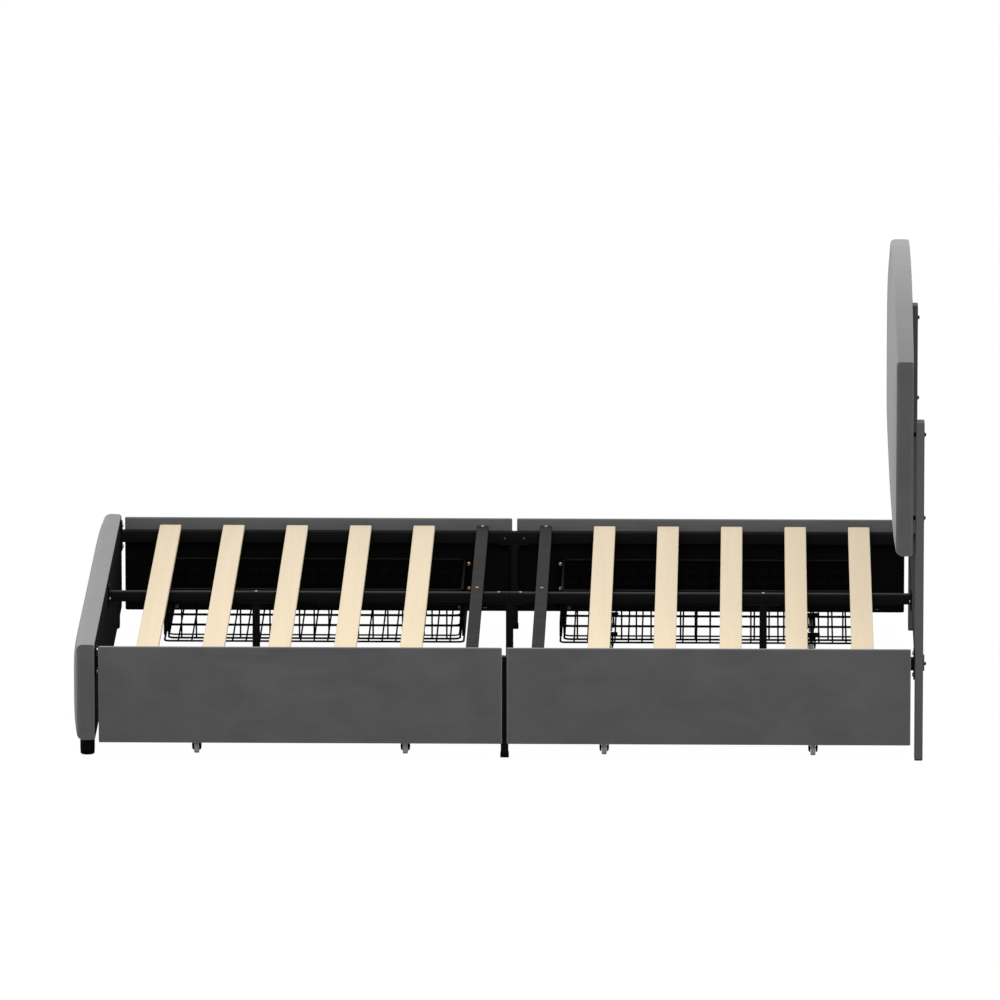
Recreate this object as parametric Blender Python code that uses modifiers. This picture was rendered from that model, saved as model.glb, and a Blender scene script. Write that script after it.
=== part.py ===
"""Platform bed with four rolling storage drawers.

The bed lies along X with the headboard at +X, and each drawer rolls out sideways along Y.
The origin is on the floor, at the middle of the whole bed.
"""

import math

import bmesh
import bpy
from mathutils import Matrix

# --- Whole bed, in metres ---
LENGTH = 2.022  # from the crown of the footboard to the backs of the posts
PLATFORM_MIDDLE = 0.015  # X of the middle legs
GAP = 0.0003  # clearance between pieces that touch
LAP = 0.002  # how far pieces that are joined reach into each other
HAIR = 0.0002  # keeps the faces of joined pieces from lying in one plane
EDGE_ROUND = 0.0015
SHARP_ANGLE = math.radians(35)

# --- Footboard ---
FOOT_PANEL_WIDTH = 1.478
FOOT_PANEL_BOTTOM = 0.044
FOOT_PANEL_TOP = 0.277
FOOT_PANEL_THICK = 0.046  # at its edges
FOOT_CROWN = 0.005
FOOT_PANEL_CELLS = (14, 5)  # along the panel and up it
FOOT_RADIUS = 0.0175
FOOT_SEGMENTS = 24
FOOT_INSET = 0.054  # from the end of the footboard to the foot's axis
FOOT_SETBACK = 0.0205  # from the footboard's inner face to the foot's axis

# --- Headboard and its posts ---
HEAD_PANEL_WIDTH = 1.470
HEAD_PANEL_BOTTOM = 0.498
HEAD_PANEL_TOP = 1.072  # at the middle of the arch
HEAD_ARCH_RADIUS = 2.66
HEAD_PANEL_THICK = 0.046
HEAD_CROWN = 0.015
HEAD_PANEL_CELLS = (16, 6)
BOARD_THICK = 0.015  # the wooden board inside each upholstered panel
BOARD_INSET = 0.002  # how far the upholstery reaches past the board's edges
PAD_BEVEL = 0.009
POST_THICK = 0.020
POST_WIDTH = 0.040
POST_HEIGHT = 0.822
POST_OUTER = 0.729  # Y of a post's outer face
POST_WALL = 0.0015

# --- Rails and legs ---
RAIL_TOP = 0.246
SIDE_RAIL_WIDTH = 0.020
SIDE_RAIL_HEIGHT = 0.030
SIDE_RAIL_OUTER = 0.712  # Y of a side rail's outer face
CENTRE_RAIL_WIDTH = 0.020
CENTRE_RAIL_HEIGHT = 0.025
TUBE_WALL = 0.0015
END_PLATE_THICK = 0.003
SIDE_PLATE_HEIGHT = 0.074
CENTRE_PLATE_HEIGHT = 0.056
PLATE_WIDTH = 0.030
LEG_WIDTH = 0.018  # along X
LEG_DEPTH = 0.019  # along Y
SADDLE_LENGTH = 0.078
SADDLE_THICK = 0.003
CENTRE_LEG_SPACING = 0.616

# --- Slats ---
SLAT_LENGTH = 1.406
WOOD_SLAT_WIDTH = 0.053
WOOD_SLAT_THICK = 0.013
WOOD_SLAT_FIRST = 0.2236  # from the middle legs to the nearest wooden slat
WOOD_SLAT_PITCH = 0.1572
WOOD_SLATS_EACH_END = 5
METAL_SLAT_WIDTH = 0.0295
METAL_SLAT_THICK = 0.014
METAL_SLAT_OFFSET = 0.0785  # from the middle legs

# --- Drawers ---
DRAWER_PLANE = 0.737  # Y of the fronts' outer faces
FRONT_LENGTH = 0.9607
FRONT_SPACING = 0.9724  # between the middles of two neighbouring fronts
FRONT_BOTTOM = 0.041
FRONT_TOP = 0.271
FRONT_THICK = 0.012
BASKET_LENGTH = 0.7115
BASKET_DEPTH = 0.358
BASKET_START = 0.022  # from the outer face of the front
BASKET_BOTTOM = 0.0514  # middle of the bottom wires
BASKET_RIM = 0.1715
BASKET_CELLS = (8, 4, 2)  # along the length, along the depth and up the walls
BASKET_WIRE = 0.0045
BASE_LENGTH = 0.740
BASE_START = 0.016
BASE_DEPTH = 0.378
BASE_WIRE_RADIUS = 0.0025
BASE_WIRE_HEIGHT = 0.0463
BASE_CORNER = 0.012
BASE_CROSS_WIRES = (0.117, 0.232)  # from the outer face of the front
SIDE_STRIP_THICK = 0.007
SIDE_STRIP_BOTTOM = 0.056
SIDE_STRIP_TOP = 0.096
SIDE_STRIP_END = 0.377  # from the outer face of the front
SPACER_LENGTH = 0.008
SPACER_INSET = 0.001  # from a side strip's faces
BRACKET_WIDTH = 0.0175
BRACKET_TOP = 0.182
BRACKET_THICK = 0.0022
BRACKET_REACH = 0.0055  # past the end of the base loop
BRACKET_FOOT = (0.026, 0.046, 0.0025)
BRACKET_FOOT_REACH = 0.001
CASTER_SPREAD = 0.249  # from the drawer's middle, along its length
CASTER_ROWS = (0.065, 0.290)  # from the outer face of the front
WHEEL_RADIUS = 0.018
WHEEL_WIDTH = 0.012
WHEEL_SEGMENTS = 20
AXLE_RADIUS = 0.0025
AXLE_END = 0.001  # how far an axle shows past its fork
AXLE_SEGMENTS = 8
BORE_RADIUS = 0.0030
FORK_WIDTH = 0.022
FORK_LENGTH = 0.025
FORK_BOTTOM = 0.0080
FORK_ROUNDING = 0.4  # of the fork's length
FORK_TOP = 0.0429
FORK_SLOT_WIDTH = 0.0132
FORK_SLOT_TOP = 0.0395
CASTER_PLATE = (0.042, 0.042, 0.0028)

FINISHES = {
    "grey velvet": ((0.085, 0.085, 0.090), 0.95, 0.0),
    "black board": ((0.010, 0.010, 0.011), 0.80, 0.0),
    "black metal": ((0.012, 0.012, 0.013), 0.45, 0.2),
    "grey metal": ((0.080, 0.080, 0.084), 0.50, 0.2),
    "slat metal": ((0.050, 0.050, 0.050), 0.45, 0.3),
    "birch": ((0.820, 0.690, 0.500), 0.60, 0.0),
    "black plastic": ((0.012, 0.012, 0.013), 0.50, 0.0),
    "grey rubber": ((0.250, 0.250, 0.260), 0.70, 0.0),
}

SIDES = {"right": -1, "left": 1}  # as seen from the foot of the bed
ENDS = {"foot": -1, "head": 1}


def clear_scene():
    for obj in list(bpy.data.objects):
        bpy.data.objects.remove(obj, do_unlink=True)


def new_collection(name):
    collection = bpy.data.collections.new(name)
    bpy.context.scene.collection.children.link(collection)
    return collection


def finish_material(name, finish):
    colour, roughness, metallic = FINISHES[finish]
    material = bpy.data.materials.new(name)
    material.use_nodes = True
    shader = material.node_tree.nodes["Principled BSDF"]
    shader.inputs["Base Color"].default_value = (*colour, 1.0)
    shader.inputs["Roughness"].default_value = roughness
    shader.inputs["Metallic"].default_value = metallic
    material.diffuse_color = (*colour, 1.0)
    return material


def place(name, mesh, finish, location=(0, 0, 0), parent=None):
    """Makes a part from a mesh, with a material of its own."""
    obj = bpy.data.objects.new(name, mesh)
    obj.location = location
    obj.parent = parent
    PARTS.objects.link(obj)
    if not mesh.materials:
        mesh.materials.append(None)
    slot = obj.material_slots[0]
    slot.link = "OBJECT"
    slot.material = finish_material(name, finish)
    return obj


def helper(name, mesh, location=(0, 0, 0)):
    """Makes a hidden object that a Boolean adds or takes away."""
    obj = bpy.data.objects.new(name, mesh)
    obj.location = location
    obj.hide_render = True
    obj.display_type = "WIRE"
    CUTTERS.objects.link(obj)
    return obj


def boolean(obj, other, operation):
    modifier = obj.modifiers.new(f"{operation.lower()} {other.name}", "BOOLEAN")
    modifier.object = other
    modifier.operation = operation
    modifier.solver = "EXACT"


def bevel(obj, width, segments):
    modifier = obj.modifiers.new("rounded edges", "BEVEL")
    modifier.width = width
    modifier.segments = segments
    modifier.limit_method = "ANGLE"
    modifier.angle_limit = SHARP_ANGLE


def box_mesh(name, size):
    bm = bmesh.new()
    bmesh.ops.create_cube(bm, size=1.0)
    bmesh.ops.scale(bm, vec=size, verts=bm.verts)
    mesh = bpy.data.meshes.new(name)
    bm.to_mesh(mesh)
    bm.free()
    return mesh


def cylinder_mesh(name, radius, depth, segments, axis="Z"):
    bm = bmesh.new()
    bmesh.ops.create_cone(
        bm, cap_ends=True, segments=segments, radius1=radius, radius2=radius, depth=depth
    )
    if axis == "X":
        bmesh.ops.rotate(bm, verts=bm.verts, matrix=Matrix.Rotation(math.pi / 2, 3, "Y"))
    mesh = bpy.data.meshes.new(name)
    bm.to_mesh(mesh)
    bm.free()
    mesh.shade_smooth()
    mesh.set_sharp_from_angle(angle=SHARP_ANGLE)
    return mesh


def middle(low, high):
    return [(a + b) / 2 for a, b in zip(low, high)]


def extents(low, high):
    return [b - a for a, b in zip(low, high)]


def box(name, low, high, finish, parent=None, round_edges=0.0):
    obj = place(name, box_mesh(name, extents(low, high)), finish, middle(low, high), parent)
    if round_edges:
        bevel(obj, round_edges, 2)
    return obj


def helper_box(name, low, high):
    return helper(name, box_mesh(name, extents(low, high)), middle(low, high))


def settled_mesh(obj):
    """The mesh of a helper with its modifiers applied and its caps welded."""
    bpy.context.view_layer.update()
    graph = bpy.context.evaluated_depsgraph_get()
    mesh = bpy.data.meshes.new_from_object(obj.evaluated_get(graph))
    mesh.transform(obj.matrix_world)
    bm = bmesh.new()
    bm.from_mesh(mesh)
    bmesh.ops.remove_doubles(bm, verts=bm.verts, dist=1e-5)
    bmesh.ops.recalc_face_normals(bm, faces=bm.faces)
    bm.to_mesh(mesh)
    bm.free()
    bpy.data.objects.remove(obj, do_unlink=True)
    return mesh


def joined_mesh(name, helpers):
    """One closed mesh from helpers that overlap, by Boolean unions."""
    first, *others = helpers
    for other in others:
        boolean(first, other, "UNION")
    mesh = settled_mesh(first)
    mesh.name = name
    for other in others:
        bpy.data.objects.remove(other, do_unlink=True)
    return mesh


def wire_helper(name, points, radius, cyclic):
    curve = bpy.data.curves.new(name, "CURVE")
    curve.dimensions = "3D"
    curve.bevel_depth = radius
    curve.bevel_resolution = 1
    curve.use_fill_caps = True
    spline = curve.splines.new("POLY")
    spline.points.add(len(points) - 1)
    for point, place_of in zip(spline.points, points):
        point.co = (*place_of, 1.0)
    spline.use_cyclic_u = cyclic
    obj = bpy.data.objects.new(name, curve)
    CUTTERS.objects.link(obj)
    return helper(name, settled_mesh(obj))


def rounded_rectangle(half_x, low_y, high_y, corner, z, steps=2):
    """Points round a rectangle in plan, each corner an arc of steps + 1 points."""
    points = []
    for quarter, (sx, y) in enumerate(((1, high_y), (-1, high_y), (-1, low_y), (1, low_y))):
        sy = 1 if y == high_y else -1
        for step in range(steps + 1):
            angle = math.radians(90 * quarter + 90 * step / steps)
            x = sx * (half_x - corner) + corner * math.cos(angle)
            points.append((x, y - sy * corner + corner * math.sin(angle), z))
    return points


def padded_mesh(name, depth, half_width, bottom, top_at, crown, cells):
    """A panel facing -X: flat back at X = 0, and a front crowned by a quartic in both directions."""
    across, up = cells
    bm = bmesh.new()
    bmesh.ops.create_grid(bm, x_segments=across, y_segments=up, size=1.0)
    made = bmesh.ops.extrude_face_region(bm, geom=list(bm.faces))
    front = {item for item in made["geom"] if isinstance(item, bmesh.types.BMVert)}
    for vert in bm.verts:
        s, t = vert.co.x, vert.co.y
        y = s * half_width
        z = bottom + (top_at(y) - bottom) * (t + 1) / 2
        swell = depth + crown * (1 - s**4) * (1 - t**4) if vert in front else 0.0
        vert.co = (-swell, y, z)
    bmesh.ops.recalc_face_normals(bm, faces=bm.faces)
    mesh = bpy.data.meshes.new(name)
    bm.to_mesh(mesh)
    bm.free()
    return mesh


def add_footboard():
    inner = PLATFORM_X[0]
    half = FOOT_PANEL_WIDTH / 2
    pad_back = inner - BOARD_THICK - GAP
    mesh = padded_mesh(
        "footboard_pad",
        FOOT_PANEL_THICK - BOARD_THICK - GAP,
        half,
        FOOT_PANEL_BOTTOM,
        lambda y: FOOT_PANEL_TOP,
        FOOT_CROWN,
        FOOT_PANEL_CELLS,
    )
    pad = place("footboard_pad", mesh, "grey velvet", (pad_back, 0, 0), BED)
    bevel(pad, PAD_BEVEL, 2)
    inset = BOARD_INSET
    box(
        "footboard_board",
        (inner - BOARD_THICK, -half + inset, FOOT_PANEL_BOTTOM + inset),
        (inner, half - inset, FOOT_PANEL_TOP - inset),
        "black board",
        BED,
    )
    for side, sign in SIDES.items():
        height = FOOT_PANEL_BOTTOM - GAP
        name = f"footboard_foot_{side}"
        foot = place(
            name,
            cylinder_mesh(name, FOOT_RADIUS, height, FOOT_SEGMENTS),
            "black plastic",
            (inner - FOOT_SETBACK, sign * (half - FOOT_INSET), height / 2),
            BED,
        )
        bevel(foot, EDGE_ROUND, 1)


def arch(y):
    """Height of the headboard's top edge: a circular arc, lowest at the sides."""
    drop = HEAD_ARCH_RADIUS - math.sqrt(HEAD_ARCH_RADIUS**2 - y**2)
    return HEAD_PANEL_TOP - drop


def add_headboard():
    back = POST_X[0] - GAP
    half = HEAD_PANEL_WIDTH / 2
    pad_mesh = padded_mesh(
        "headboard_pad",
        HEAD_PANEL_THICK - BOARD_THICK - GAP,
        half,
        HEAD_PANEL_BOTTOM,
        arch,
        HEAD_CROWN,
        HEAD_PANEL_CELLS,
    )
    pad = place("headboard_pad", pad_mesh, "grey velvet", (back - BOARD_THICK - GAP, 0, 0), BED)
    bevel(pad, PAD_BEVEL, 2)
    board_mesh = padded_mesh(
        "headboard_board",
        BOARD_THICK,
        half - BOARD_INSET,
        HEAD_PANEL_BOTTOM + BOARD_INSET,
        lambda y: arch(y) - BOARD_INSET,
        0.0,
        (HEAD_PANEL_CELLS[0], 1),
    )
    place("headboard_board", board_mesh, "black board", (back, 0, 0), BED)
    for side, sign in SIDES.items():
        name = f"headboard_post_{side}"
        centre = sign * (POST_OUTER - POST_WIDTH / 2)
        low = (POST_X[0], centre - POST_WIDTH / 2, 0.0)
        high = (POST_X[1], centre + POST_WIDTH / 2, POST_HEIGHT)
        post = box(name, low, high, "grey metal", BED)
        wall = POST_WALL
        bore = helper_box(
            f"{name}_bore",
            (low[0] + wall, low[1] + wall, -wall),
            (high[0] - wall, high[1] - wall, POST_HEIGHT - wall),
        )
        boolean(post, bore, "DIFFERENCE")


def tube(name, low, high, axis, finish):
    """A rectangular tube with open ends, along the axis of that number."""
    obj = box(name, low, high, finish, BED)
    inner_low = [value + TUBE_WALL for value in low]
    inner_high = [value - TUBE_WALL for value in high]
    inner_low[axis] = low[axis] - TUBE_WALL
    inner_high[axis] = high[axis] + TUBE_WALL
    return obj, helper_box(f"{name}_bore", inner_low, inner_high)


def add_rail(name, end, centre_y, width, height, plate_height, finish):
    """Half of a lengthwise rail: a tube from the middle legs to an end plate."""
    outer_x = PLATFORM_X[0] + GAP if end < 0 else POST_X[0] - GAP
    middle_x = PLATFORM_MIDDLE + end * GAP
    ends = sorted((middle_x, outer_x - end * END_PLATE_THICK / 2))
    low = (ends[0], centre_y - width / 2, RAIL_TOP - height)
    high = (ends[1], centre_y + width / 2, RAIL_TOP)
    rail, bore = tube(name, low, high, 0, finish)
    plate_x = sorted((outer_x, outer_x - end * END_PLATE_THICK))
    plate_middle = RAIL_TOP - height / 2
    plate = helper_box(
        f"{name}_plate",
        (plate_x[0], centre_y - PLATE_WIDTH / 2, plate_middle - plate_height / 2),
        (plate_x[1], centre_y + PLATE_WIDTH / 2, plate_middle + plate_height / 2),
    )
    boolean(rail, bore, "DIFFERENCE")
    boolean(rail, plate, "UNION")


def add_leg(name, x, y, rail_bottom):
    """A tube leg, open below, under a saddle plate that holds the rail above it."""
    saddle_top = rail_bottom - GAP
    top = saddle_top - SADDLE_THICK
    low = (x - LEG_WIDTH / 2, y - LEG_DEPTH / 2, 0.0)
    high = (x + LEG_WIDTH / 2, y + LEG_DEPTH / 2, top + SADDLE_THICK / 2)
    leg = box(name, low, high, "black metal", BED)
    wall = TUBE_WALL
    bore = helper_box(
        f"{name}_bore",
        (low[0] + wall, low[1] + wall, -wall),
        (high[0] - wall, high[1] - wall, top - wall),
    )
    saddle = helper_box(
        f"{name}_saddle",
        (x - SADDLE_LENGTH / 2, y - LEG_DEPTH / 2, top),
        (x + SADDLE_LENGTH / 2, y + LEG_DEPTH / 2, saddle_top),
    )
    boolean(leg, saddle, "UNION")
    boolean(leg, bore, "DIFFERENCE")


def add_frame():
    side_centre = SIDE_RAIL_OUTER - SIDE_RAIL_WIDTH / 2
    for end_name, end in ENDS.items():
        add_rail(
            f"centre_rail_{end_name}",
            end,
            0.0,
            CENTRE_RAIL_WIDTH,
            CENTRE_RAIL_HEIGHT,
            CENTRE_PLATE_HEIGHT,
            "black metal",
        )
        for side, sign in SIDES.items():
            add_rail(
                f"side_rail_{side}_{end_name}",
                end,
                sign * side_centre,
                SIDE_RAIL_WIDTH,
                SIDE_RAIL_HEIGHT,
                SIDE_PLATE_HEIGHT,
                "black metal",
            )
    for side, sign in SIDES.items():
        x = PLATFORM_MIDDLE
        add_leg(f"side_leg_{side}", x, sign * side_centre, RAIL_TOP - SIDE_RAIL_HEIGHT)
    for number, step in enumerate((-1, 0, 1), 1):
        x = PLATFORM_MIDDLE + step * CENTRE_LEG_SPACING
        add_leg(f"centre_leg_{number}", x, 0.0, RAIL_TOP - CENTRE_RAIL_HEIGHT)
    cross_end = POST_OUTER - POST_WIDTH - GAP
    cross, bore = tube(
        "head_cross_rail",
        (POST_X[0], -cross_end, RAIL_TOP - SIDE_RAIL_HEIGHT),
        (POST_X[1] - GAP, cross_end, RAIL_TOP),
        1,
        "black metal",
    )
    boolean(cross, bore, "DIFFERENCE")


def add_slats():
    half = SLAT_LENGTH / 2
    bottom = RAIL_TOP + GAP
    offsets = []
    for step in range(WOOD_SLATS_EACH_END):
        reach = WOOD_SLAT_FIRST + step * WOOD_SLAT_PITCH
        offsets += [-reach, reach]
    for number, offset in enumerate(sorted(offsets), 1):
        x = PLATFORM_MIDDLE + offset
        box(
            f"wood_slat_{number}",
            (x - WOOD_SLAT_WIDTH / 2, -half, bottom),
            (x + WOOD_SLAT_WIDTH / 2, half, bottom + WOOD_SLAT_THICK),
            "birch",
            BED,
            round_edges=EDGE_ROUND,
        )
    for end_name, end in ENDS.items():
        x = PLATFORM_MIDDLE + end * METAL_SLAT_OFFSET
        slat, bore = tube(
            f"metal_slat_{end_name}",
            (x - METAL_SLAT_WIDTH / 2, -half, bottom),
            (x + METAL_SLAT_WIDTH / 2, half, bottom + METAL_SLAT_THICK),
            1,
            "slat metal",
        )
        boolean(slat, bore, "DIFFERENCE")


def basket_mesh():
    """An open box of square wires: a grid for the bottom, and its border raised for the walls."""
    along, deep, rows = BASKET_CELLS
    bm = bmesh.new()
    bmesh.ops.create_grid(bm, x_segments=along, y_segments=deep, size=0.5)
    inner_length = BASKET_LENGTH - BASKET_WIRE
    inner_depth = BASKET_DEPTH - BASKET_WIRE
    bmesh.ops.scale(bm, vec=(inner_length, inner_depth, 1), verts=bm.verts)
    rise = (BASKET_RIM - BASKET_BOTTOM - BASKET_WIRE / 2) / rows
    for _ in range(rows):
        border = [edge for edge in bm.edges if edge.is_boundary]
        made = bmesh.ops.extrude_edge_only(bm, edges=border)
        raised = [item for item in made["geom"] if isinstance(item, bmesh.types.BMVert)]
        bmesh.ops.translate(bm, vec=(0, 0, rise), verts=raised)
    mesh = bpy.data.meshes.new("basket")
    bm.to_mesh(mesh)
    bm.free()
    obj = helper("basket_cage", mesh)
    wires = obj.modifiers.new("wires", "WIREFRAME")
    wires.thickness = BASKET_WIRE
    wires.use_even_offset = False
    wires.use_boundary = True
    wires.offset = 0.0
    return settled_mesh(obj)


def fork_helper(name, x, y):
    """A caster's fork with its top plate and its axle, round below the axle."""
    height = FORK_TOP - FORK_BOTTOM
    bm = bmesh.new()
    bmesh.ops.create_cube(bm, size=1.0)
    bmesh.ops.scale(bm, vec=(FORK_WIDTH, FORK_LENGTH, height), verts=bm.verts)
    lower = [
        edge
        for edge in bm.edges
        if edge.verts[0].co.z < 0
        and edge.verts[1].co.z < 0
        and edge.verts[0].co.y * edge.verts[1].co.y > 0
    ]
    bmesh.ops.bevel(
        bm,
        geom=lower,
        offset=FORK_LENGTH * FORK_ROUNDING,
        segments=3,
        profile=0.5,
        affect="EDGES",
    )
    mesh = bpy.data.meshes.new(name)
    bm.to_mesh(mesh)
    bm.free()
    fork = helper(name, mesh, (x, y, (FORK_TOP + FORK_BOTTOM) / 2))
    slot = helper_box(
        f"{name}_slot",
        (x - FORK_SLOT_WIDTH / 2, y - FORK_LENGTH, FORK_BOTTOM - LAP),
        (x + FORK_SLOT_WIDTH / 2, y + FORK_LENGTH, FORK_SLOT_TOP),
    )
    boolean(fork, slot, "DIFFERENCE")
    length, depth, thick = CASTER_PLATE
    plate = helper_box(
        f"{name}_plate",
        (x - length / 2, y - depth / 2, FORK_TOP - thick / 2),
        (x + length / 2, y + depth / 2, FORK_TOP + thick / 2),
    )
    axle = helper(
        f"{name}_axle",
        cylinder_mesh(
            f"{name}_axle", AXLE_RADIUS, FORK_WIDTH + 2 * AXLE_END, AXLE_SEGMENTS, "X"
        ),
        (x, y, WHEEL_RADIUS),
    )
    boolean(fork, axle, "UNION")
    boolean(fork, plate, "UNION")
    mesh = settled_mesh(fork)
    for used in (slot, plate, axle):
        bpy.data.objects.remove(used, do_unlink=True)
    return helper(name, mesh)


def base_mesh():
    """A drawer's base: a wire loop with cross wires, side strips, brackets and caster forks."""
    half = BASE_LENGTH / 2
    radius = BASE_WIRE_RADIUS
    z = BASE_WIRE_HEIGHT
    near, far = BASE_START, BASE_START + BASE_DEPTH
    back = FRONT_THICK + GAP
    loop = rounded_rectangle(half - radius, near + radius, far - radius, BASE_CORNER, z)
    pieces = [wire_helper("base_loop", loop, radius, True)]
    for row in BASE_CROSS_WIRES:
        run = [(radius - half, row, z + HAIR), (half - radius, row, z + HAIR)]
        pieces.append(wire_helper(f"base_cross_{row}", run, radius, False))
    for sign in (-1, 1):
        x = sign * CASTER_SPREAD
        run = [(x, near + radius, z), (x, far - radius, z)]
        pieces.append(wire_helper(f"base_wire_{sign}", run, radius, False))
        strip = sorted((sign * half, sign * (half - SIDE_STRIP_THICK)))
        pieces.append(
            helper_box(
                f"base_strip_{sign}",
                (strip[0], back, SIDE_STRIP_BOTTOM),
                (strip[1], SIDE_STRIP_END, SIDE_STRIP_TOP),
            )
        )
        for row in CASTER_ROWS:
            pieces.append(
                helper_box(
                    f"base_spacer_{sign}_{row}",
                    (strip[0] + SPACER_INSET, row - SPACER_LENGTH / 2, z),
                    (strip[1] - SPACER_INSET, row + SPACER_LENGTH / 2, SIDE_STRIP_BOTTOM + LAP),
                )
            )
            pieces.append(fork_helper(f"fork_{sign}_{row}", x, row))
        length, depth, thick = BRACKET_FOOT
        end = half + BRACKET_REACH
        upright = sorted((sign * end, sign * (end - BRACKET_WIDTH)))
        end = half + BRACKET_FOOT_REACH
        foot = sorted((sign * end, sign * (end - length)))
        pieces.append(
            helper_box(
                f"bracket_upright_{sign}",
                (upright[0], back, z),
                (upright[1], back + BRACKET_THICK, BRACKET_TOP),
            )
        )
        pieces.append(
            helper_box(
                f"bracket_foot_{sign}",
                (foot[0], back + HAIR, z),
                (foot[1], back + depth, z + thick - HAIR),
            )
        )
    return joined_mesh("drawer_base", pieces)


def wheel_mesh():
    """A wheel about X, bored for its axle."""
    rim_mesh = cylinder_mesh("wheel_rim", WHEEL_RADIUS, WHEEL_WIDTH, WHEEL_SEGMENTS, "X")
    rim = helper("wheel_rim", rim_mesh)
    bore_depth = WHEEL_WIDTH * 2
    bore_cutter = cylinder_mesh("wheel_bore", BORE_RADIUS, bore_depth, AXLE_SEGMENTS, "X")
    bore = helper("wheel_bore", bore_cutter)
    boolean(rim, bore, "DIFFERENCE")
    mesh = settled_mesh(rim)
    bpy.data.objects.remove(bore, do_unlink=True)
    mesh.shade_smooth()
    mesh.set_sharp_from_angle(angle=SHARP_ANGLE)
    return mesh


def add_drawers():
    basket = basket_mesh()
    base = base_mesh()
    wheel = wheel_mesh()
    front_size = (FRONT_LENGTH, FRONT_THICK, FRONT_TOP - FRONT_BOTTOM)
    front = box_mesh("drawer_front", front_size)
    for side, sign in SIDES.items():
        for end_name, end in ENDS.items():
            drawer = f"drawer_{side}_{end_name}"
            slide = bpy.data.objects.new(f"{drawer}_slide", None)
            slide.location = (
                PLATFORM_MIDDLE + end * FRONT_SPACING / 2,
                sign * DRAWER_PLANE,
                0.0,
            )
            slide.rotation_euler = (0, 0, 0 if sign < 0 else math.pi)
            slide.parent = BED
            PARTS.objects.link(slide)
            front_place = (0, FRONT_THICK / 2, (FRONT_TOP + FRONT_BOTTOM) / 2)
            panel = place(f"{drawer}_front", front, "grey velvet", front_place, slide)
            bevel(panel, EDGE_ROUND, 1)
            basket_middle = BASKET_START + BASKET_DEPTH / 2
            basket_place = (0, basket_middle, BASKET_BOTTOM)
            place(f"{drawer}_basket", basket, "black metal", basket_place, slide)
            place(f"{drawer}_base", base, "black metal", (0, 0, 0), slide)
            number = 0
            for row in CASTER_ROWS:
                for x in (-CASTER_SPREAD, CASTER_SPREAD):
                    number += 1
                    spot = (x, row, WHEEL_RADIUS)
                    place(f"{drawer}_wheel_{number}", wheel, "grey rubber", spot, slide)


clear_scene()
PARTS = new_collection("platform_bed")
CUTTERS = new_collection("cutters")
CUTTERS.hide_render = True
BED = bpy.data.objects.new("bed", None)
PARTS.objects.link(BED)

FOOT_X = -LENGTH / 2 + FOOT_CROWN
PLATFORM_X = (FOOT_X + FOOT_PANEL_THICK, LENGTH / 2 - POST_THICK)
POST_X = (LENGTH / 2 - POST_THICK, LENGTH / 2)

add_footboard()
add_headboard()
add_frame()
add_slats()
add_drawers()
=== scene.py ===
"""Looks of a platform bed with four rolling storage drawers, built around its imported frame.

Every shape is a pair: an array of points, and a list of faces that number them. Shapes are worked out along Z
round their own middle, laid along the axis they belong to, and moved into place before they become a piece.
"""

import math

import bmesh
import bpy
import numpy as np
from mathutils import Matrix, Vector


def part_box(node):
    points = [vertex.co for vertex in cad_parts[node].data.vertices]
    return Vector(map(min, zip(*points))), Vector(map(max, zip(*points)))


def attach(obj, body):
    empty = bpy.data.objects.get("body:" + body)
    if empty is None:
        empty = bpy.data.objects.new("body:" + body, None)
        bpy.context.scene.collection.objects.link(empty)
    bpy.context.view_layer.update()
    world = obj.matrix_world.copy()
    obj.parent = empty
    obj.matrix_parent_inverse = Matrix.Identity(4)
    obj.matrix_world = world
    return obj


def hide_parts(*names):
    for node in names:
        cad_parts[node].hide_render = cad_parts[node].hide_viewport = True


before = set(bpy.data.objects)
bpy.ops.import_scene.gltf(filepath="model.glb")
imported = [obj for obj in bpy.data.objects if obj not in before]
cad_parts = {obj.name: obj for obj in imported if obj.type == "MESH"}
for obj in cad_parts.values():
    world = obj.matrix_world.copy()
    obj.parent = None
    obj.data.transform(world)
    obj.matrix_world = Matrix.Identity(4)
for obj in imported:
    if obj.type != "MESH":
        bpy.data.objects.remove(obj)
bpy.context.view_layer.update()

SIDES = {"right": 1, "left": -1}  # a left drawer is a right one given half a turn about Z
ENDS = {"foot": -1, "head": 1}
BED = "frame"
SHARP = math.radians(38)


# --- Camera, light and floor ---


def add_camera():
    data = bpy.data.cameras.new("camera")
    data.lens = 510.3
    data.sensor_width = 36
    data.clip_end = 300
    camera = bpy.data.objects.new("camera", data)
    camera.location = (0.589, -33.617, 7.671)
    camera.rotation_euler = (math.radians(90 - 12.08), 0, math.radians(1.018))
    bpy.context.scene.collection.objects.link(camera)
    bpy.context.scene.camera = camera


def add_soft_light(name, place, turn, size, power):
    data = bpy.data.lights.new(name, "AREA")
    data.shape = "SQUARE"
    data.size = size
    data.energy = power
    light = bpy.data.objects.new(name, data)
    light.location = place
    light.rotation_euler = turn
    bpy.context.scene.collection.objects.link(light)


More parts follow.
